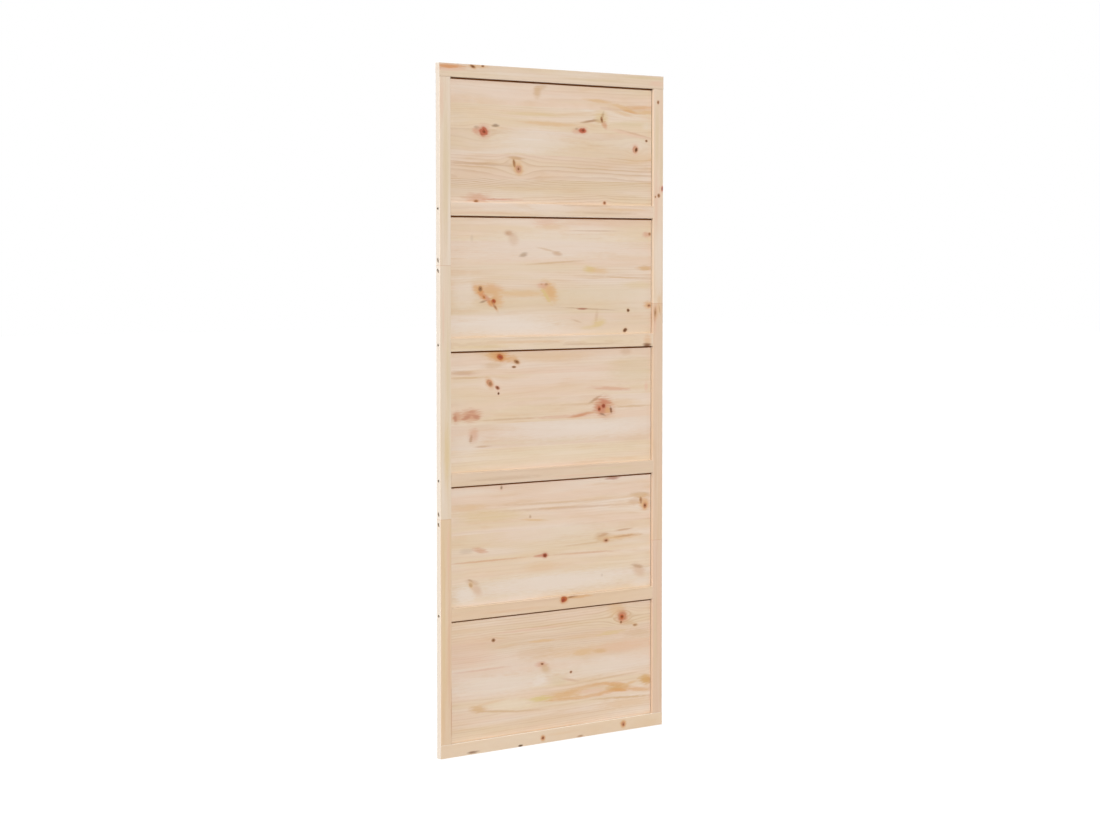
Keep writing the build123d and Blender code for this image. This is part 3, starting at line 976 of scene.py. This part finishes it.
def steel_material():
    """Zinc-plated screw steel, a little uneven."""
    material = bpy.data.materials.new("screw_steel")
    material.use_nodes = True
    g = Graph(material.node_tree)
    shader = material.node_tree.nodes["Principled BSDF"]
    place = g.node("ShaderNodeTexCoord").outputs["Object"]
    scaled = g.node("ShaderNodeVectorMath", operation="SCALE")
    g.feed(scaled.inputs[0], place)
    scaled.inputs["Scale"].default_value = 900.0
    cloud = g.noise(scaled.outputs[0], 3.0)
    shader.inputs["Metallic"].default_value = 1.0
    g.feed(shader.inputs["Base Color"], g.mix(cloud, STEEL_DARK, STEEL_PALE))
    g.feed(shader.inputs["Roughness"], g.add(0.28, g.mul(cloud, 0.2)))
    return material


def dress(node, material):
    """Puts a material in every slot of a CAD node."""
    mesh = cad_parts[node].data
    if not mesh.materials:
        mesh.materials.append(material)
    for slot in range(len(mesh.materials)):
        mesh.materials[slot] = material


def moved(marks, to_row, quarter_turn=False):
    """Marks with their places turned into row millimetres, along and across the grain."""
    placed = []
    for mark in marks:
        x, z = to_row(*mark["place"])
        at = (z, x) if quarter_turn else (x, z)
        half = (mark["half"][1], mark["half"][0]) if quarter_turn else mark["half"]
        placed.append({**mark, "place": at, "half": half})
    return placed


def dress_wood():
    """Every wooden piece, with the marks that show on it."""
    stile_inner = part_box("left_stile_top")[1][0] / MM
    for index in range(1, PANEL_COUNT + 1):
        above = "top_rail" if index == 1 else f"cross_rail_{index - 1}"
        bay_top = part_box(above)[0][2] / MM
        name = f"panel_{index}"
        marks = moved(PANEL_MARKS[name], lambda x, y: (stile_inner + SIGHT_SHIFT + x, bay_top - y))
        low_edge = bay_top - PANEL_COUNT * BOARD_WIDTH
        boards = {"board_width": BOARD_WIDTH, "low_edge": low_edge, "lines": BOARD_LINES[name]}
        dress(name, wood_material(name, index * 20.0, marks, PANEL_FRONT, **boards))
    for index, (name, rail_marks) in enumerate(RAIL_MARKS.items()):
        low, high = [Vector(corner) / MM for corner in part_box(name)]
        marks = moved(rail_marks, lambda x, y: (low.x + x, high.z - y))
        stick = {"middle": (low.z + high.z) / 2, "tint": TINTS.get(name), "ledge_highlight": LEDGE_HIGHLIGHTS.get(name, 0.0)}
        dress(name, wood_material(name, 200.0 + index, marks, FRAME_FRONT, **stick))
    for index, (name, stile_marks) in enumerate(STILE_MARKS.items()):
        low, high = [Vector(corner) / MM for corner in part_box(name)]
        marks = moved(stile_marks, lambda x, y: (low.x + x, -y), quarter_turn=True)
        hand = name.split("_")[0]
        middle_low, middle_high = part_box(f"{hand}_stile_middle")
        ends = (middle_high, middle_low)
        stick = {"middle": (low.x + high.x) / 2, "tint": TINTS.get(name), "upright": True,
                 "joints": [corner[2] / MM for corner in ends]}
        dress(name, wood_material(name, 300.0 + index, marks, FRAME_FRONT, **stick))


def ring_of(bm, radius, height, count=24):
    """A round loop of points."""
    turns = [2 * math.pi * index / count for index in range(count)]
    return [bm.verts.new((radius * math.cos(turn), radius * math.sin(turn), height)) for turn in turns]


def bridge(bm, first, second):
    """Faces between two loops of as many points."""
    count = len(first)
    for index in range(count):
        after = (index + 1) % count
        bm.faces.new((first[index], first[after], second[after], second[index]))


def screw_mesh():
    """A pan-head screw with a cross recess: its seat is at the origin, and +Z is out of the hole."""
    arm = 1.9
    half_arm = 0.5
    recess_depth = 1.3
    recess_taper = 0.7
    corners = [(half_arm, half_arm), (half_arm, arm), (-half_arm, arm), (-half_arm, half_arm)]
    cross = []
    for quarter in range(4):
        spin = Matrix.Rotation(quarter * math.pi / 2, 2)
        cross += [spin @ Vector(corner) for corner in corners[:3]]
    bm = bmesh.new()
    top = ring_of(bm, HEAD_RADIUS - 0.7, HEAD_HEIGHT)
    mouth = [bm.verts.new((point.x, point.y, HEAD_HEIGHT)) for point in cross]
    foot_height = HEAD_HEIGHT - recess_depth
    narrowed = [point * recess_taper for point in cross]
    foot = [bm.verts.new((point.x, point.y, foot_height)) for point in narrowed]
    edges = []
    for loop in (top, mouth):
        for index, vert in enumerate(loop):
            edges.append(bm.edges.new((vert, loop[(index + 1) % len(loop)])))
    bmesh.ops.triangle_fill(bm, edges=edges, use_beauty=True)
    bridge(bm, mouth, foot)
    bm.faces.new(foot)
    sides = [
        (HEAD_RADIUS - 0.25, HEAD_HEIGHT - 0.25), (HEAD_RADIUS, HEAD_HEIGHT - 0.8),
        (HEAD_RADIUS, 0.0), (SHANK_RADIUS, 0.0), (SHANK_RADIUS, -SHANK_LENGTH),
    ]
    loop = top
    for radius, height in sides:
        following = ring_of(bm, radius, height)
        bridge(bm, loop, following)
        loop = following
    bm.faces.new(loop)
    bmesh.ops.recalc_face_normals(bm, faces=bm.faces)
    bmesh.ops.scale(bm, vec=(MM, MM, MM), verts=bm.verts)
    mesh = bpy.data.meshes.new("screw")
    bm.to_mesh(mesh)
    bm.free()
    return mesh


def place_screw(name, mesh, seat, outward, spin):
    """A screw with its head's seat at a point in row metres, facing outward."""
    screw = bpy.data.objects.new(name, mesh)
    bpy.context.collection.objects.link(screw)
    turn = Vector(outward).to_track_quat("Z", "Y").to_matrix().to_4x4()
    screw.matrix_world = Matrix.Translation(seat) @ turn @ Matrix.Rotation(spin, 4, "Z")
    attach(screw, "root")


def pocket_seat(edge, side, joint, above):
    """Seat and facing of the screw in the pocket above or below a joint, on the left or right edge."""
    flip = -side
    lean = math.radians(POCKET_ANGLE)
    skew = math.radians(POCKET_SKEW)
    down = -above
    inward = Vector((-side * math.sin(lean), 0, 0))
    inward += Vector((0, flip * down * math.sin(skew), down * math.cos(skew))) * math.cos(lean)
    mouth = Vector((edge, 0, joint + above * POCKET_TO_JOINT * MM))
    return mouth + inward * POCKET_DEPTH * MM, -inward


def add_screws():
    """The frame's own screws, in the holes and pockets of the solids."""
    mesh = screw_mesh()
    mesh.materials.append(steel_material())
    sunk = SCREW_HEAD_DEPTH * MM
    low, high = [Vector(corner) for corner in cad_box]
    for side, hand in ((-1, "left"), (1, "right")):
        edge = low.x if side < 0 else high.x
        for index in range(1, CROSS_RAIL_COUNT + 1):
            rail_low, rail_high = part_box(f"cross_rail_{index}")
            height = (rail_low[2] + rail_high[2]) / 2
            seat = Vector((edge - side * sunk, 0, height))
            place_screw(f"{hand}_rail_screw_{index}", mesh, seat, (side, 0, 0), 0.4 + index)
        middle_low, middle_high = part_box(f"{hand}_stile_middle")
        for end, joint in (("upper", middle_high[2]), ("lower", middle_low[2])):
            for above, spot in ((1, "above"), (-1, "below")):
                seat, outward = pocket_seat(edge, side, joint, above)
                place_screw(f"{hand}_{end}_pocket_screw_{spot}", mesh, seat, outward, 0.7)
        stile_low, stile_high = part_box(f"{hand}_stile_top")
        across = (stile_low[0] + stile_high[0]) / 2
        place_screw(f"{hand}_top_screw", mesh, Vector((across, 0, high.z - sunk)), (0, 0, 1), 0.3)
        place_screw(f"{hand}_bottom_screw", mesh, Vector((across, 0, low.z + sunk)), (0, 0, -1), 0.9)


def seen_share(g):
    """1 for camera, mirror and see-through rays, and 0 for rays that only carry light."""
    rays = g.node("ShaderNodeLightPath").outputs
    direct = g.math("MAXIMUM", rays["Is Camera Ray"], rays["Is Glossy Ray"])
    return g.math("MAXIMUM", direct, rays["Is Transmission Ray"])


def add_world():
    """White to look at, and a weaker soft light on the leaf."""
    world = bpy.data.worlds.new("studio")
    bpy.context.scene.world = world
    world.use_nodes = True
    g = Graph(world.node_tree)
    background = world.node_tree.nodes["Background"]
    background.inputs["Color"].default_value = (1.0, 1.0, 1.0, 1.0)
    g.feed(background.inputs["Strength"], g.step(seen_share(g), 0.0, 1.0, WORLD_LIGHT, 1.0))


def add_floor():
    """A pale floor under the leaf that fades into the white background and keeps a soft shadow."""
    height = cad_box[0][2]
    mesh = bpy.data.meshes.new("floor")
    signs = ((-1, -1), (1, -1), (1, 1), (-1, 1))
    corners = [(across * FLOOR_HALF, back * FLOOR_HALF, height) for across, back in signs]
    mesh.from_pydata(corners, [], [(0, 1, 2, 3)])
    floor = bpy.data.objects.new("floor", mesh)
    bpy.context.collection.objects.link(floor)
    material = bpy.data.materials.new("floor")
    material.use_nodes = True
    g = Graph(material.node_tree)
    shader = material.node_tree.nodes["Principled BSDF"]
    shader.inputs["Base Color"].default_value = (FLOOR_GREY, FLOOR_GREY, FLOOR_GREY, 1.0)
    shader.inputs["Roughness"].default_value = 0.9
    shader.inputs["Specular IOR Level"].default_value = 0.0
    shader.inputs["Emission Color"].default_value = (1.0, 1.0, 1.0, 1.0)
    g.feed(shader.inputs["Emission Strength"], g.mul(seen_share(g), FLOOR_GLOW))
    mesh.materials.append(material)


def add_sun(name, azimuth, elevation, strength, softness):
    """A soft lamp far off: azimuth 0 is in front of the leaf, and negative to its left."""
    lamp = bpy.data.lights.new(name, "SUN")
    lamp.energy = strength
    lamp.angle = math.radians(softness)
    turn = math.radians(azimuth)
    rise = math.radians(elevation)
    towards = Vector((math.sin(turn) * math.cos(rise), -math.cos(turn) * math.cos(rise), math.sin(rise)))
    holder = bpy.data.objects.new(name, lamp)
    holder.rotation_euler = (-towards).to_track_quat("-Z", "Y").to_euler()
    bpy.context.collection.objects.link(holder)


def add_lights():
    """Each lamp's azimuth, elevation, strength and softness."""
    add_sun("key", -37, 23, 2.52, 7)
    add_sun("left_fill", -92, 15, 1.6, 40)
    add_sun("front_fill", 62, 15, 0.45, 30)
    add_sun("top_fill", -40, 86, 0.5, 8)
    add_sun("right_fill", 108, 8, 1.5, 30)
    add_sun("back_fill", 160, 16, 2.1, 20)


def add_camera():
    """The photograph's view."""
    camera = bpy.data.cameras.new("camera")
    camera.sensor_width = SENSOR_WIDTH
    camera.lens = CAMERA_FOCAL_PIXELS / PHOTO_WIDTH * SENSOR_WIDTH
    holder = bpy.data.objects.new("camera", camera)
    holder.location = CAMERA_PLACE
    holder.rotation_euler = (math.radians(90 + CAMERA_PITCH), 0, math.radians(-CAMERA_YAW))
    bpy.context.collection.objects.link(holder)
    bpy.context.scene.camera = holder


bpy.context.scene.view_settings.view_transform = "Standard"
dress_wood()
add_screws()
add_world()
add_floor()
add_lights()
add_camera()
